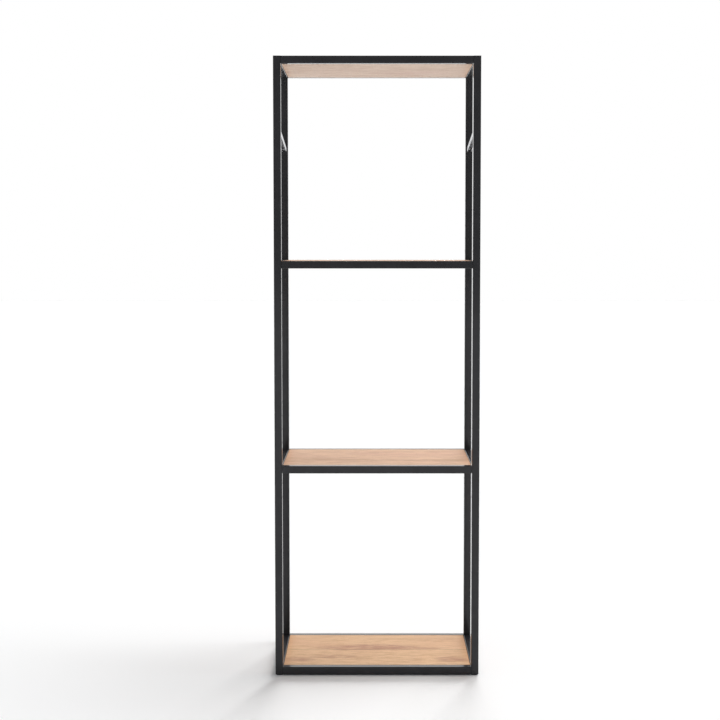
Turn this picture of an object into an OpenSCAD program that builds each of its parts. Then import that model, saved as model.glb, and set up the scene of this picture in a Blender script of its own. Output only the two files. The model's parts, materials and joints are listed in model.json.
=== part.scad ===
// Open bookcase: a black steel tube frame with four inlaid oak boards.
// Millimetres, +Z up, front towards -Y. The origin is on the floor, under the middle of the bookcase.

/* [Frame] */
// Overall width of the frame
frame_width = 600; // [450:10:900]
// Overall depth of the frame
frame_depth = 380; // [300:10:450]
// Height of the frame without its feet
frame_height = 1810; // [1780:10:2000]
// Side of the square steel tube
tube = 22; // [20:1:25]
// Wall thickness of the tube
wall = 2; // [1.5:0.5:2]
// Outer corner radius of the tube
corner_radius = 2; // [1:0.5:3]

/* [Shelves] */
// Height of the lower shelf's top face above the floor
lower_shelf_top = 623; // [560:1:660]
// Height of the upper shelf's top face above the floor
upper_shelf_top = 1223; // [1160:1:1260]
// Gap between a board and the rails round it
board_gap = 1.5; // [1:0.5:3]
// Gap between an adjustable shelf's rails and the uprights
shelf_play = 0.5; // [0.4:0.1:1]
// Distance between two stud positions on an upright
stud_pitch = 40; // [32:1:42]
// Stud positions above the one in use
positions_above = 5; // [1:1:5]
// Stud positions below the one in use
positions_below = 2; // [0:1:3]

/* [Sloping side bars] */
// Height of the middle of each bar above the floor
bar_height = 1584.5; // [1520:0.5:1620]
// Fall of each bar towards the rear, in degrees
bar_slope = 6.8; // [2:0.1:8]
// Width of the bar's channel section
bar_width = 13; // [12:0.5:15]
// Depth of the bar's channel section
bar_depth = 13; // [11:0.5:15]
// Thickness of the bar's sheet
bar_sheet = 1.5; // [1:0.5:2]

/* [Feet] */
// Height of a foot's pad, which is the gap under the frame
foot_pad_height = 3; // [2:0.5:6]
// Diameter of a foot's pad
foot_pad_diameter = 20; // [16:1:20]

/* [Hidden] */
$fn = 48;

// Places of the frame
upright_x = frame_width / 2 - tube / 2;
upright_y = frame_depth / 2 - tube / 2;
inner_x = frame_width / 2 - tube;
inner_y = frame_depth / 2 - tube;
bore = tube - 2 * wall;
frame_top = foot_pad_height + frame_height;
bottom_shelf_top = foot_pad_height + tube;
cut = 1; // how far a cutter runs past the face that it cuts

// Boards and the steel pins round their edges
board_length = 2 * (inner_x - board_gap);
board_breadth = 2 * (inner_y - board_gap);
pin_diameter = 6;
pin_length = 24;
pin_in_board = 12;
hole_depth = pin_in_board + 1;
pin_clearance = 0.05;
long_edge_pins = [-1, 0, 1] * frame_width / 3;
short_edge_pins = [-1, 1] * frame_depth / 4;

// Screws that hold the front and rear rails of the top and bottom between the side frames
screw_diameter = 6;
screw_length = 18;
screw_head_diameter = 10;
screw_head_height = 4;
screw_clearance = 0.1;
nut_length = 14;
cover_diameter = 12;
cover_rim_diameter = 13;
cover_rim_height = 1.5;
cover_clearance = 0.05;

// Studs that carry the adjustable shelves
stud_diameter = 6;
stud_thread_length = 6;
stud_clearance = 0.1;
stud_head_diameter = 10;
stud_head_height = 3;
stud_above_underside = 10;
hook_plate = 3;
head_play = 0.4;
stud_shank = shelf_play + hook_plate + head_play;
slot_play = 0.5;

// Sloping side bars and their pegs
bar_x = frame_width / 2 - 11.5;
bar_front_y = -inner_y + 2;
bar_rear_y = inner_y - 16;
bar_middle_y = (bar_front_y + bar_rear_y) / 2;
bar_length = (bar_rear_y - bar_front_y) / cos(bar_slope);
peg_diameter = 6;
peg_thread_length = 6;
peg_play = 0.2;
peg_front_tip = -inner_y + 26;
peg_rear_tip = inner_y - 32;

// Feet
cap_height = 3;
thread_plate_clearance = 0.5;
thread_plate_height = (tube - cover_rim_diameter) / 2 - thread_plate_clearance;
stem_diameter = 8;
stem_length = 34;
stem_clearance = 0.05;
pad_chamfer = 0.5;

function stud_height(shelf_top) = shelf_top - tube + stud_above_underside;
function stud_heights(shelf_top) =
    [for (step = [-positions_below:positions_above]) stud_height(shelf_top) + step * stud_pitch];

// Height of the underside of a side bar's web at a distance y from front to rear
function web_underside(y) =
    bar_height - tan(bar_slope) * (y - bar_middle_y) + (bar_depth / 2 - bar_sheet) / cos(bar_slope);
function peg_height(side_y) =
    web_underside(side_y < 0 ? peg_front_tip : bar_rear_y) - peg_play - peg_diameter / 2;

module steel_black() {
    color([0.16, 0.16, 0.17]) children();
}

module steel_zinc() {
    color([0.78, 0.78, 0.80]) children();
}

module oak() {
    color([0.82, 0.68, 0.54]) children();
}

module plastic_black() {
    color([0.09, 0.09, 0.09]) children();
}

module rounded_square(side, radius) {
    square([side, side - 2 * radius], center = true);
    square([side - 2 * radius, side], center = true);
    for (x = [-1, 1], y = [-1, 1]) {
        translate([x, y] * (side / 2 - radius)) circle(r = radius);
    }
}

module tube_z(length) {
    linear_extrude(length, center = true) difference() {
        rounded_square(tube, corner_radius);
        square(bore, center = true);
    }
}

module tube_x(length) {
    rotate([0, 90, 0]) tube_z(length);
}

module tube_y(length) {
    rotate([90, 0, 0]) tube_z(length);
}

module rod_x(length, diameter) {
    rotate([0, 90, 0]) cylinder(h = length, d = diameter, center = true);
}

module rod_y(length, diameter) {
    rotate([90, 0, 0]) cylinder(h = length, d = diameter, center = true);
}

// A rod along X that begins at a distance start inwards from x = 0, on side side_x of the frame
module rod_inwards(side_x, start, length, diameter) {
    translate([-side_x * (start + length / 2), 0, 0]) rod_x(length, diameter);
}

// The four corners of the frame
module at_corners() {
    for (side_x = [-1, 1], side_y = [-1, 1]) {
        translate([side_x * upright_x, side_y * upright_y, 0]) children();
    }
}

module upright(side_x, side_y) {
    inner_wall_x = side_x * (inner_x + wall / 2);
    outer_wall_x = side_x * (frame_width / 2 - wall / 2);
    steel_black() difference() {
        translate([side_x * upright_x, side_y * upright_y, foot_pad_height + frame_height / 2])
            tube_z(frame_height);
        for (z = concat(stud_heights(lower_shelf_top), stud_heights(upper_shelf_top))) {
            translate([inner_wall_x, side_y * upright_y, z])
                rod_x(wall + 2 * cut, stud_diameter + 2 * stud_clearance);
        }
        for (z = [bottom_shelf_top - tube / 2, frame_top - tube / 2]) {
            translate([inner_wall_x, side_y * upright_y, z])
                rod_x(wall + 2 * cut, screw_diameter + 2 * screw_clearance);
            translate([outer_wall_x, side_y * upright_y, z]) rod_x(wall + 2 * cut, cover_diameter);
        }
        translate([side_x * bar_x, side_y * (inner_y + wall / 2), peg_height(side_y)])
            rod_y(wall + 2 * cut, peg_diameter + 2 * pin_clearance);
    }
}

// Holes in the inner wall of a rail that runs along X, for the pins of the board beside it
module long_rail_pin_holes(side_y) {
    for (x = long_edge_pins) {
        translate([x, side_y * (inner_y + wall / 2), 0])
            rod_y(wall + 2 * cut, pin_diameter + 2 * pin_clearance);
    }
}

module short_rail_pin_holes(side_x) {
    for (y = short_edge_pins) {
        translate([side_x * (inner_x + wall / 2), y, 0])
            rod_x(wall + 2 * cut, pin_diameter + 2 * pin_clearance);
    }
}

// A fixed front or rear rail, bolted between a left and a right upright
module fixed_long_rail(shelf_top, side_y) {
    steel_black() translate([0, 0, shelf_top - tube / 2]) difference() {
        translate([0, side_y * upright_y, 0]) tube_x(2 * inner_x);
        long_rail_pin_holes(side_y);
    }
}

// A rail along Y, welded between a front and a rear upright, or held by its board with some play
module short_rail(shelf_top, side_x, play) {
    steel_black() translate([0, 0, shelf_top - tube / 2]) difference() {
        translate([side_x * upright_x, 0, 0]) tube_y(2 * (inner_y - play));
        short_rail_pin_holes(side_x);
    }
}

// An adjustable shelf's front or rear rail. Each end is open below, so that it drops over a stud's head.
module hooked_rail(shelf_top, side_y) {
    notch_length = stud_shank - shelf_play + stud_head_height + 2 * slot_play;
    notch_width = stud_head_diameter + 2 * slot_play;
    rail_end = inner_x - shelf_play;
    steel_black() translate([0, 0, shelf_top - tube / 2]) difference() {
        translate([0, side_y * upright_y, 0]) tube_x(2 * rail_end);
        long_rail_pin_holes(side_y);
        for (side_x = [-1, 1]) {
            translate([side_x * (rail_end - notch_length / 2 + cut / 2), side_y * upright_y, -tube / 2])
                cube([notch_length + cut, notch_width, 2 * wall], center = true);
        }
    }
}

// Steel plates in the ends of the hooked rails, each with a slot that is open below
module hook_plates(shelf_top) {
    slot_width = stud_diameter + 2 * stud_clearance;
    steel_zinc() for (side_x = [-1, 1], side_y = [-1, 1]) {
        translate([side_x * (inner_x - shelf_play - hook_plate / 2), side_y * upright_y, 0]) difference() {
            translate([0, 0, shelf_top - tube / 2]) cube([hook_plate, bore, bore], center = true);
            translate([0, 0, stud_height(shelf_top)]) rod_x(hook_plate + 2 * cut, slot_width);
            translate([0, 0, stud_height(shelf_top) - bore / 2])
                cube([hook_plate + 2 * cut, slot_width, bore], center = true);
        }
    }
}

// Shoulder studs screwed into the inner faces of the uprights, with their heads inside the rails
module shelf_studs(shelf_top) {
    steel_zinc() for (side_x = [-1, 1], side_y = [-1, 1]) {
        translate([side_x * inner_x, side_y * upright_y, stud_height(shelf_top)]) {
            rod_inwards(side_x, -stud_thread_length, stud_thread_length + stud_shank, stud_diameter);
            rod_inwards(side_x, stud_shank, stud_head_height, stud_head_diameter);
        }
    }
}

module board(shelf_top) {
    hole_diameter = pin_diameter + 2 * pin_clearance;
    hole_inset = (hole_depth - cut) / 2;
    oak() translate([0, 0, shelf_top - tube / 2]) difference() {
        cube([board_length, board_breadth, tube], center = true);
        for (x = long_edge_pins, side_y = [-1, 1]) {
            translate([x, side_y * (board_breadth / 2 - hole_inset), 0])
                rod_y(hole_depth + cut, hole_diameter);
        }
        for (y = short_edge_pins, side_x = [-1, 1]) {
            translate([side_x * (board_length / 2 - hole_inset), y, 0])
                rod_x(hole_depth + cut, hole_diameter);
        }
    }
}

// Pins that join a board's edges to the rails round it
module board_pins(shelf_top) {
    pin_centre = pin_length / 2 - pin_in_board;
    steel_zinc() translate([0, 0, shelf_top - tube / 2]) {
        for (x = long_edge_pins, side_y = [-1, 1]) {
            translate([x, side_y * (board_breadth / 2 + pin_centre), 0]) rod_y(pin_length, pin_diameter);
        }
        for (y = short_edge_pins, side_x = [-1, 1]) {
            translate([side_x * (board_length / 2 + pin_centre), y, 0]) rod_x(pin_length, pin_diameter);
        }
    }
}

// The ends of the fixed front and rear rails, each with x = 0 at an upright's inner face
module at_fixed_rail_ends() {
    for (side_x = [-1, 1], side_y = [-1, 1], shelf_top = [bottom_shelf_top, frame_top]) {
        translate([side_x * inner_x, side_y * upright_y, shelf_top - tube / 2]) {
            $side_x = side_x;
            children();
        }
    }
}

module rail_end_nuts() {
    steel_zinc() at_fixed_rail_ends() difference() {
        translate([-$side_x * nut_length / 2, 0, 0]) cube([nut_length, bore, bore], center = true);
        rod_inwards($side_x, -cut, nut_length + 2 * cut, screw_diameter + 2 * screw_clearance);
    }
}

module rail_screws() {
    steel_zinc() at_fixed_rail_ends() {
        rod_inwards($side_x, -wall, screw_length, screw_diameter);
        rod_inwards($side_x, -wall - screw_head_height, screw_head_height, screw_head_diameter);
    }
}

module screw_covers() {
    plastic_black() at_fixed_rail_ends() {
        rod_inwards($side_x, -tube, wall, cover_diameter - 2 * cover_clearance);
        rod_inwards($side_x, -tube + wall, cover_rim_height, cover_rim_diameter);
    }
}

module upright_end_caps() {
    steel_black() at_corners() translate([0, 0, frame_top - cap_height / 2])
        cube([bore, bore, cap_height], center = true);
}

// Plates welded into the bottom ends of the uprights, which take the feet's threaded stems
module foot_thread_plates() {
    steel_black() at_corners() translate([0, 0, foot_pad_height]) difference() {
        translate([0, 0, thread_plate_height / 2]) cube([bore, bore, thread_plate_height], center = true);
        translate([0, 0, -cut])
            cylinder(h = thread_plate_height + 2 * cut, d = stem_diameter + 2 * stem_clearance);
    }
}

module foot(side_x, side_y) {
    plastic_black() translate([side_x * upright_x, side_y * upright_y, 0]) {
        cylinder(h = pad_chamfer, d1 = foot_pad_diameter - 2 * pad_chamfer, d2 = foot_pad_diameter);
        translate([0, 0, pad_chamfer]) cylinder(h = foot_pad_height - pad_chamfer, d = foot_pad_diameter);
        translate([0, 0, pad_chamfer]) cylinder(h = stem_length - pad_chamfer, d = stem_diameter);
    }
}

module side_bar(side_x) {
    steel_zinc() translate([side_x * bar_x, bar_middle_y, bar_height])
        rotate([-bar_slope, 0, 0]) difference() {
            cube([bar_width, bar_length, bar_depth], center = true);
            translate([0, 0, -bar_sheet])
                cube([bar_width - 2 * bar_sheet, bar_length + 2 * cut, bar_depth], center = true);
        }
}

// Pegs in the uprights that the side bars hook over
module side_bar_pegs() {
    steel_zinc() for (side_x = [-1, 1]) {
        translate([side_x * bar_x, (-inner_y - peg_thread_length + peg_front_tip) / 2, peg_height(-1)])
            rod_y(peg_front_tip + inner_y + peg_thread_length, peg_diameter);
        translate([side_x * bar_x, (inner_y + peg_thread_length + peg_rear_tip) / 2, peg_height(1)])
            rod_y(inner_y + peg_thread_length - peg_rear_tip, peg_diameter);
    }
}

upright(-1, -1);  // upright_front_left
upright(1, -1);  // upright_front_right
upright(-1, 1);  // upright_rear_left
upright(1, 1);  // upright_rear_right
fixed_long_rail(frame_top, -1);  // top_rail_front
fixed_long_rail(frame_top, 1);  // top_rail_rear
short_rail(frame_top, -1, 0);  // top_rail_left
short_rail(frame_top, 1, 0);  // top_rail_right
fixed_long_rail(bottom_shelf_top, -1);  // bottom_rail_front
fixed_long_rail(bottom_shelf_top, 1);  // bottom_rail_rear
short_rail(bottom_shelf_top, -1, 0);  // bottom_rail_left
short_rail(bottom_shelf_top, 1, 0);  // bottom_rail_right
board(frame_top);  // top_board
board(bottom_shelf_top);  // bottom_board
board_pins(frame_top);  // top_board_pins
board_pins(bottom_shelf_top);  // bottom_board_pins
rail_end_nuts();
rail_screws();
screw_covers();
upright_end_caps();
foot_thread_plates();
shelf_studs(upper_shelf_top);  // upper_shelf_studs
shelf_studs(lower_shelf_top);  // lower_shelf_studs
side_bar_pegs();
hooked_rail(upper_shelf_top, -1);  // upper_shelf_rail_front
hooked_rail(upper_shelf_top, 1);  // upper_shelf_rail_rear
short_rail(upper_shelf_top, -1, shelf_play);  // upper_shelf_rail_left
short_rail(upper_shelf_top, 1, shelf_play);  // upper_shelf_rail_right
board(upper_shelf_top);  // upper_shelf_board
board_pins(upper_shelf_top);  // upper_shelf_pins
hook_plates(upper_shelf_top);  // upper_shelf_hook_plates
hooked_rail(lower_shelf_top, -1);  // lower_shelf_rail_front
hooked_rail(lower_shelf_top, 1);  // lower_shelf_rail_rear
short_rail(lower_shelf_top, -1, shelf_play);  // lower_shelf_rail_left
short_rail(lower_shelf_top, 1, shelf_play);  // lower_shelf_rail_right
board(lower_shelf_top);  // lower_shelf_board
board_pins(lower_shelf_top);  // lower_shelf_pins
hook_plates(lower_shelf_top);  // lower_shelf_hook_plates
side_bar(-1);  // side_bar_left
side_bar(1);  // side_bar_right
foot(-1, -1);  // foot_front_left
foot(1, -1);  // foot_front_right
foot(-1, 1);  // foot_rear_left
foot(1, 1);  // foot_rear_right
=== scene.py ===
"""Looks of the open bookcase: powder-coated tube frame, oak boards, zinc-plated side bars and nylon feet."""

import json
import math

import bpy
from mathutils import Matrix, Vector


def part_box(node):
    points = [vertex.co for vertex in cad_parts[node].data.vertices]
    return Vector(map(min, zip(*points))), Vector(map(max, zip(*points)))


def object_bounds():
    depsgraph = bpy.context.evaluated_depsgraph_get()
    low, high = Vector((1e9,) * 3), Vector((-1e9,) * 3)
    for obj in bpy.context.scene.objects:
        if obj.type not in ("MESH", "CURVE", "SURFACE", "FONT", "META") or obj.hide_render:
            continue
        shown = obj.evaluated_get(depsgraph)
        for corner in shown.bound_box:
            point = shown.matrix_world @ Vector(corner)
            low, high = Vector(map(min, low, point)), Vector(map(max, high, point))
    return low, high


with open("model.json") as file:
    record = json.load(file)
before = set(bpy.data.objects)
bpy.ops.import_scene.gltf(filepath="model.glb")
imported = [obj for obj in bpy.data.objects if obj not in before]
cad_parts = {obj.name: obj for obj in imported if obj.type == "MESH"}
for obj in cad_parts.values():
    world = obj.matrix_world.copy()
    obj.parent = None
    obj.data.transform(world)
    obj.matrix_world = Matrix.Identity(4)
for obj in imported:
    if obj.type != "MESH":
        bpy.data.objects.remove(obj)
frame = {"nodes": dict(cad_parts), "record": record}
cad_low, cad_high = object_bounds()

MM = 0.001
nodes = frame["nodes"]
slot_of = {part["node"]: part["material_slot"] for part in frame["record"]["subparts"]}


# --- Node trees -------------------------------------------------------------------------------

def make(tree, kind, inputs=None, output=0, **settings):
    """Adds a shader node, sets or links its inputs, and returns one of its outputs."""
    node = tree.nodes.new("ShaderNode" + kind)
    for name, value in settings.items():
        setattr(node, name, value)
    for key, value in (inputs or {}).items():
        if isinstance(value, bpy.types.NodeSocket):
            tree.links.new(value, node.inputs[key])
        else:
            node.inputs[key].default_value = value
    return node.outputs[output] if node.outputs else node


def maths(tree, operation, *values):
    return make(tree, "Math", dict(enumerate(values)), operation=operation)


def mix(tree, factor, low, high):
    """Blends two colours, or two colour sockets, by a factor."""
    return make(tree, "Mix", {0: factor, 6: low, 7: high}, output=2, data_type="RGBA")


def spread(tree, value, low, high):
    """Carries a value from 0 to 1 over to the range from low to high."""
    return make(tree, "MapRange", {"Value": value, "To Min": low, "To Max": high})


def between(tree, value, low, high):
    """0 at or under low, 1 at or over high, smooth between them."""
    limits = {"Value": value, "From Min": low, "From Max": high}
    return make(tree, "MapRange", limits, interpolation_type="SMOOTHSTEP")


def place(tree, stretch=(1, 1, 1)):
    """The part's own coordinates in metres, stretched."""
    own = make(tree, "TexCoord", output="Object")
    return make(tree, "Mapping", {"Vector": own, "Scale": stretch})


def noise(tree, where, scale, detail=2.0, roughness=0.5):
    return make(tree, "TexNoise", {"Vector": where, "Scale": scale, "Detail": detail, "Roughness": roughness})


def bump(tree, height, distance, strength=1.0, under=None):
    inputs = {"Height": height, "Distance": distance, "Strength": strength}
    if under:
        inputs["Normal"] = under
    return make(tree, "Bump", inputs)


def new_material(name):
    """An empty material, and a function that closes its tree with a Principled shader."""
    material = bpy.data.materials.new(name)
    material.use_nodes = True
    tree = material.node_tree
    tree.nodes.clear()

    def close(**sockets):
        inputs = {key.replace("_", " "): value for key, value in sockets.items()}
        shader = make(tree, "BsdfPrincipled", inputs)
        make(tree, "OutputMaterial", {"Surface": shader})
        return material

    return tree, close


# --- Materials --------------------------------------------------------------------------------

BLACK_LOW = (0.0092, 0.0090, 0.0112)
BLACK_HIGH = (0.0182, 0.0179, 0.0216)


def powder_coat():
    """Satin black powder coat: a fine orange-peel skin with faint cloudiness, glossy at a grazing look."""
    tree, close = new_material("black_powder_coat")
    where = place(tree)
    clouds = noise(tree, where, scale=22, detail=3, roughness=0.6)
    grain = noise(tree, where, scale=900, detail=2, roughness=0.6)
    peel = noise(tree, where, scale=330, detail=1, roughness=0.4)
    tone = maths(tree, "ADD", maths(tree, "MULTIPLY", clouds, 0.6), maths(tree, "MULTIPLY", grain, 0.4))
    colour = mix(tree, between(tree, tone, 0.3, 0.7), (*BLACK_LOW, 1), (*BLACK_HIGH, 1))
    waves = bump(tree, peel, distance=0.10 * MM, strength=0.35)
    return close(
        Base_Color=colour,
        Roughness=spread(tree, clouds, 0.34, 0.46),
        Specular_IOR_Level=0.08,
        Coat_Weight=0.9,
        Coat_Roughness=0.10,
        Coat_IOR=1.42,
        Normal=bump(tree, grain, distance=0.04 * MM, strength=0.4, under=waves),
    )


OAK_LIGHT = (0.702, 0.466, 0.310)
OAK_DARK = (0.491, 0.280, 0.165)

# Tints, each a factor for red, green and blue
SHELF_TINT = (0.98, 0.95, 0.92)
BOTTOM_TINT = (0.99, 0.95, 0.80)
PINK_TINT = (0.98, 0.90, 0.95)
HEART_TINT = (0.76, 0.62, 0.72)
END_TINT = (1.15, 0.98, 0.80)
PORE_TINT = (0.40, 0.40, 0.40)
# Painted light: a paler, bluer tint for the sheen on the top board's underside
UNDERSIDE_LIGHT_TINT = (1.05, 1.26, 1.55)

RING_WIDTH = 5.5 * MM
FRONT_PITH = -70 * MM
REAR_PITH = 80 * MM
SEAM_RIM = 1.6 * MM
SEAM_CORE = 0.4 * MM
WARM_END = 27 * MM
board_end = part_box("bottom_board")[1].x

# Layers of the grain: noise scale along X, Y and Z, detail and roughness
GRAIN = {
    "fibres": ((9, 420, 420), 4, 0.65),
    "flecks": ((22, 120, 120), 3, 0.62),
    "dashes": ((26, 130, 130), 3, 0.6),
    "streaks": ((5, 34, 34), 4, 0.65),
    "patches": ((3.5, 9, 9), 2, 0.5),
}
GRAIN_WEIGHT = {"fibres": 0.40, "flecks": 0.80, "dashes": 0.70, "streaks": 0.85, "patches": 0.45}

# A figure is its centre's X and Y, its half length and half width, in metres, and its strength.
TOP_FIGURES = ((-0.10, -0.06, 0.10, 0.020, 0.25), (0.12, 0.07, 0.14, 0.022, 0.20))
SHELF_FIGURES = ((-0.05, 0.09, 0.16, 0.020, 0.25), (0.13, -0.08, 0.12, 0.018, 0.20))
BOTTOM_FIGURES = (
    (-0.02, 0.024, 0.20, 0.040, 0.95),
    (0.12, 0.008, 0.12, 0.014, 0.80),
    (-0.235, -0.110, 0.065, 0.028, 0.80),
    (-0.130, -0.080, 0.090, 0.022, 0.60),
    (0.225, -0.105, 0.065, 0.024, 0.80),
)


def tinted(colour, tint):
    return [channel * factor for channel, factor in zip(colour, tint)] + [1]


def stretched(tree, vector, scale, detail, roughness):
    """Noise with its scale given along X, Y and Z."""
    return noise(tree, make(tree, "Mapping", {"Vector": vector, "Scale": scale}), 1.0, detail, roughness)


def late_wood_of(tree, wood_space, y, rear_plank):
    """Rises from 0 to 1 across each growth ring, round a pith that runs nearly along X below the plank."""
    wander = stretched(tree, wood_space, (1.3, 5, 1), detail=2, roughness=0.5)
    ripple = stretched(tree, wood_space, (7, 45, 1), detail=3, roughness=0.6)
    across = maths(tree, "SUBTRACT", y, spread(tree, rear_plank, FRONT_PITH, REAR_PITH))
    depth = spread(tree, wander, 0.015, 0.125)
    squares = maths(tree, "ADD", maths(tree, "POWER", across, 2.0), maths(tree, "POWER", depth, 2.0))
    rings = maths(tree, "MULTIPLY", maths(tree, "SQRT", squares), 1 / RING_WIDTH)
    rippled = maths(tree, "MULTIPLY_ADD", ripple, 1.1, rings)
    return maths(tree, "POWER", maths(tree, "FRACT", rippled), 2.2)


def pores_of(tree, wood_space, late_wood):
    """1 in the short dark pores, which lie in the early wood."""
    field = stretched(tree, wood_space, (110, 1700, 1700), detail=1, roughness=0.5)
    early_wood = between(tree, late_wood, 0.75, 0.1)
    return maths(tree, "MULTIPLY", between(tree, field, 0.60, 0.70), early_wood)


def lens(tree, x, y, figure):
    """1 in the middle of a long dark figure in the wood, falling to 0 at its rim."""
    centre_x, centre_y, half_length, half_width, strength = figure
    along = maths(tree, "MULTIPLY", maths(tree, "SUBTRACT", x, centre_x), 1 / half_length)
    across = maths(tree, "MULTIPLY", maths(tree, "SUBTRACT", y, centre_y), 1 / half_width)
    far = maths(tree, "ADD", maths(tree, "POWER", along, 2.0), maths(tree, "POWER", across, 2.0))
    return maths(tree, "MULTIPLY", between(tree, far, 1.0, 0.1), strength)


def with_figures(tree, wood, heart, x, y, layers, figures):
    """The wood with its dark figures, whose rims the streaks make ragged."""
    ragged_y = maths(tree, "MULTIPLY_ADD", maths(tree, "SUBTRACT", layers["streaks"], 0.5), 60 * MM, y)
    flecked = between(tree, layers["flecks"], 0.30, 0.62)
    grainy = maths(tree, "MULTIPLY", flecked, between(tree, layers["fibres"], 0.25, 0.60))
    for figure in figures:
        figured = maths(tree, "MULTIPLY", lens(tree, x, ragged_y, figure), spread(tree, grainy, 0.25, 1.15))
        wood = mix(tree, figured, wood, heart)
    return wood


def oak(name, seed, tint, joint, grain, figures, pale_below=None):
    """Oak in two planks, with growth rings cut flat, fibres and pores along X, under a matt lacquer.

    joint is the darkness of the line between the planks, and grain the strength of the grain's contrast.
    Under the height pale_below the wood is tinted paler and bluer: painted light, standing in for the sheen
    on the top board's underside.
    """
    tree, close = new_material(name)
    light = tinted(OAK_LIGHT, tint)
    dark = tinted(OAK_DARK, tint)
    axes = make(tree, "SeparateXYZ", {"Vector": place(tree)}).node.outputs
    x, y = axes["X"], axes["Y"]
    rear_plank = maths(tree, "GREATER_THAN", y, 0.0)

    # Each plank is cut from its own place in the log.
    shift = maths(tree, "MULTIPLY_ADD", rear_plank, 1.7, seed)
    wood_space = make(tree, "CombineXYZ", {"X": maths(tree, "ADD", x, shift), "Y": y, "Z": shift})
    layers = {layer: stretched(tree, wood_space, *settings) for layer, settings in GRAIN.items()}
    late_wood = late_wood_of(tree, wood_space, y, rear_plank)
    pores = pores_of(tree, wood_space, late_wood)
    seam = between(tree, maths(tree, "ABSOLUTE", y), SEAM_RIM, SEAM_CORE)

    tone = maths(tree, "MULTIPLY", late_wood, 0.30)
    for layer, weight in GRAIN_WEIGHT.items():
        swing = maths(tree, "SUBTRACT", layers[layer], 0.5)
        tone = maths(tree, "MULTIPLY_ADD", swing, weight * 2 * grain, tone)
    wood = mix(tree, between(tree, tone, -0.35, 0.85), light, dark)

    pinker = mix(tree, 0.5, wood, tinted(light, PINK_TINT))
    pink_share = maths(tree, "MULTIPLY", rear_plank, between(tree, layers["patches"], 0.35, 0.7))
    wood = mix(tree, pink_share, wood, pinker)
    wood = with_figures(tree, wood, tinted(dark, HEART_TINT), x, y, layers, figures)
    # Darker and warmer towards each end of the board, next to the side rails.
    ends = between(tree, maths(tree, "ABSOLUTE", x), board_end - WARM_END, board_end)
    wood = mix(tree, maths(tree, "MULTIPLY", ends, 0.35), wood, tinted(dark, END_TINT))
    wood = mix(tree, maths(tree, "MULTIPLY", pores, 0.55), wood, tinted(dark, PORE_TINT))
    wood = mix(tree, maths(tree, "MULTIPLY", seam, joint), wood, tinted(dark, PORE_TINT))
    # Painted light: the underside is tinted paler and bluer for the sheen it catches from below.
    if pale_below:
        lit_underside = maths(tree, "LESS_THAN", axes["Z"], pale_below)
        painted_light = {0: lit_underside, 6: wood, 7: (*UNDERSIDE_LIGHT_TINT, 1)}
        wood = make(tree, "Mix", painted_light, output=2, data_type="RGBA", blend_type="MULTIPLY")

    hollows = maths(tree, "ADD", pores, seam)
    relief = maths(tree, "SUBTRACT", maths(tree, "MULTIPLY", layers["fibres"], 0.5), hollows)
    return close(
        Base_Color=wood,
        Roughness=spread(tree, layers["fibres"], 0.40, 0.62),
        Specular_IOR_Level=0.40,
        Normal=bump(tree, relief, distance=0.10 * MM, strength=0.6),
    )


def zinc(name, brightness, roughness):
    """Zinc-plated steel with faint drawing lines and a soft cloudy lustre."""
    tree, close = new_material(name)
    lines = noise(tree, place(tree, (1500, 12, 1500)), scale=1.0, detail=2, roughness=0.5)
    clouds = noise(tree, place(tree, (160, 30, 160)), scale=1.0, detail=3, roughness=0.6)
    low = [brightness * channel for channel in (0.66, 0.68, 0.73)] + [1]
    high = [brightness] * 3 + [1]
    return close(
        Base_Color=mix(tree, between(tree, clouds, 0.3, 0.7), low, high),
        Metallic=1.0,
        Roughness=spread(tree, lines, roughness - 0.08, roughness + 0.08),
        Normal=bump(tree, lines, distance=0.03 * MM, strength=0.5),
    )


def nylon():
    """Moulded black nylon with a fine spark-eroded texture."""
    tree, close = new_material("black_nylon")
    grain = noise(tree, place(tree), scale=1600, detail=2, roughness=0.6)
    clouds = noise(tree, place(tree), scale=90, detail=2, roughness=0.5)
    return close(
        Base_Color=mix(tree, clouds, (0.008, 0.008, 0.008, 1), (0.018, 0.018, 0.018, 1)),
        Roughness=spread(tree, grain, 0.45, 0.62),
        Normal=bump(tree, grain, distance=0.04 * MM, strength=0.6),
    )


top_low, top_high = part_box("top_board")
top_middle = (top_low.z + top_high.z) / 2
boards = {
    "top_board": oak("oak_top", 0.7, SHELF_TINT, 0.3, 1.0, TOP_FIGURES, pale_below=top_middle),
    "upper_shelf_board": oak("oak_upper", 5.3, SHELF_TINT, 0.3, 1.45, SHELF_FIGURES),
    "lower_shelf_board": oak("oak_lower", 9.1, SHELF_TINT, 0.25, 1.45, SHELF_FIGURES),
    "bottom_board": oak("oak_bottom", 3.9, BOTTOM_TINT, 1.0, 1.2, BOTTOM_FIGURES),
}
finishes = {
    "black_steel": powder_coat(),
    "zinc_steel": zinc("zinc_fasteners", brightness=0.62, roughness=0.34),
    "bright_zinc": zinc("bright_zinc", brightness=0.66, roughness=0.30),
    "black_plastic": nylon(),
}
for name, part in nodes.items():
    part.data.materials.clear()
    part.data.materials.append(boards.get(name) or finishes[slot_of[name]])


# --- Edges ------------------------------------------------------------------------------------

def round_edges(name, width):
    """Softens a CAD node's sharp edges without changing its mesh."""
    part = nodes[name]
    part.modifiers.new("join", "WELD").merge_threshold = 0.002 * MM
    soften = part.modifiers.new("soften", "BEVEL")
    soften.width = width
    soften.segments = 2
    soften.limit_method = "ANGLE"
    soften.angle_limit = math.radians(40)
    soften.use_clamp_overlap = False
    soften.harden_normals = True


for name in boards:
    round_edges(name, 0.6 * MM)
for name in ("side_bar_left", "side_bar_right"):
    round_edges(name, 0.4 * MM)


# --- Studio -----------------------------------------------------------------------------------

FLOOR_REACH = 30
ROOM_LIGHT = 0.32
REAR_WALL = 1.1
FRONT_WALL = 0.50


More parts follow.
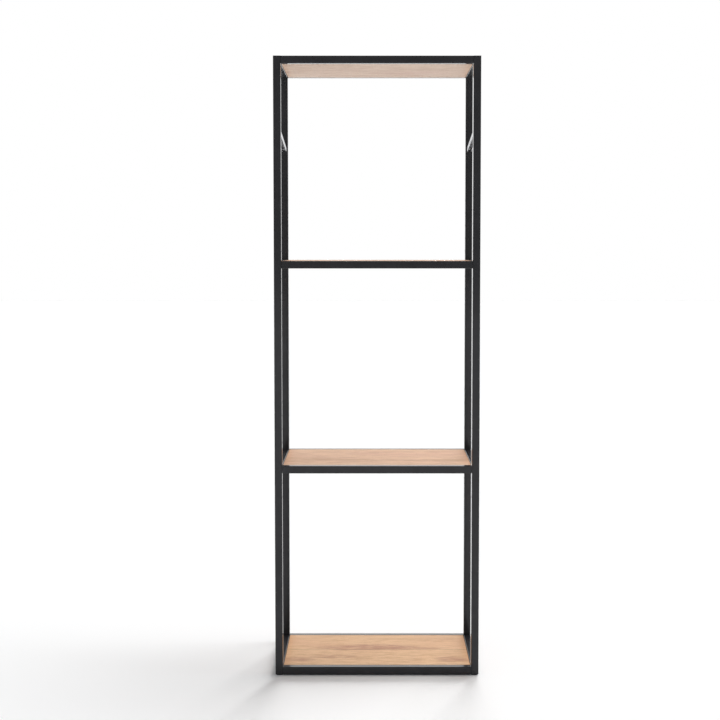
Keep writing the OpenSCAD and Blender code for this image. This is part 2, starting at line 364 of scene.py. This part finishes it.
def studio_floor():
    mesh = bpy.data.meshes.new("studio_floor")
    corners = [(x * FLOOR_REACH, y * FLOOR_REACH, 0) for x, y in ((-1, -1), (1, -1), (1, 1), (-1, 1))]
    mesh.from_pydata(corners, [], [(0, 1, 2, 3)])
    floor = bpy.data.objects.new("studio_floor", mesh)
    bpy.context.scene.collection.objects.link(floor)
    tree, close = new_material("pale_floor")
    paint = close(Base_Color=(0.93, 0.93, 0.93, 1), Roughness=0.9, Specular_IOR_Level=0.1)
    floor.data.materials.append(paint)


def studio_air():
    """A white room: full white to the camera, a bright rear wall and a dimmer front one to gloss."""
    world = bpy.data.worlds.new("studio_air")
    bpy.context.scene.world = world
    world.use_nodes = True
    tree = world.node_tree
    tree.nodes.clear()
    direction = make(tree, "TexCoord", output="Generated")
    rearwards = make(tree, "SeparateXYZ", {"Vector": direction}, output="Y")
    wall = spread(tree, between(tree, rearwards, -0.5, 0.7), FRONT_WALL, REAR_WALL)
    paths = make(tree, "LightPath").node.outputs
    seen = make(tree, "Background", {"Color": (1, 1, 1, 1), "Strength": 1.0})
    mirrored = make(tree, "Background", {"Color": (1, 1, 1, 1), "Strength": wall})
    lighting = make(tree, "Background", {"Color": (0.97, 0.985, 1, 1), "Strength": ROOM_LIGHT})
    unseen = make(tree, "MixShader", {0: paths["Is Glossy Ray"], 1: lighting, 2: mirrored})
    both = make(tree, "MixShader", {0: paths["Is Camera Ray"], 1: unseen, 2: seen})
    make(tree, "OutputWorld", {"Surface": both})


def sunlight(name, azimuth, elevation, spread_angle, floor_share, gloss):
    """Far soft light that adds floor_share to a white floor, from the right (azimuth 0) or the rear (90)."""
    lamp = bpy.data.lights.new(name, "SUN")
    lamp.angle = math.radians(spread_angle)
    lamp.energy = floor_share * math.pi / math.sin(math.radians(elevation))
    turn, rise = math.radians(azimuth), math.radians(elevation)
    source = Vector((math.cos(turn) * math.cos(rise), math.sin(turn) * math.cos(rise), math.sin(rise)))
    sun = bpy.data.objects.new(name, lamp)
    sun.rotation_euler = (-source).to_track_quat("-Z", "Y").to_euler()
    sun.visible_glossy = gloss
    bpy.context.scene.collection.objects.link(sun)


studio_floor()
studio_air()
sunlight("key", azimuth=25, elevation=52, spread_angle=50, floor_share=0.36, gloss=True)
sunlight("low_rear", azimuth=82, elevation=14, spread_angle=24, floor_share=0.42, gloss=False)


# --- Camera -----------------------------------------------------------------------------------

EYE_X = -0.0121
EYE_DISTANCE = 4.251
EYE_HEIGHT = 1.263
PITCH = 3.7  # degrees below level
optics = bpy.data.cameras.new("camera")
optics.lens = 73.13
optics.shift_x = -0.0179
optics.shift_y = -0.0254
camera = bpy.data.objects.new("camera", optics)
camera.location = (EYE_X, cad_low.y - EYE_DISTANCE, EYE_HEIGHT)
camera.rotation_euler = (math.radians(90 - PITCH), 0, 0)
bpy.context.scene.collection.objects.link(camera)
bpy.context.scene.camera = camera
bpy.context.scene.view_settings.view_transform = "Standard"
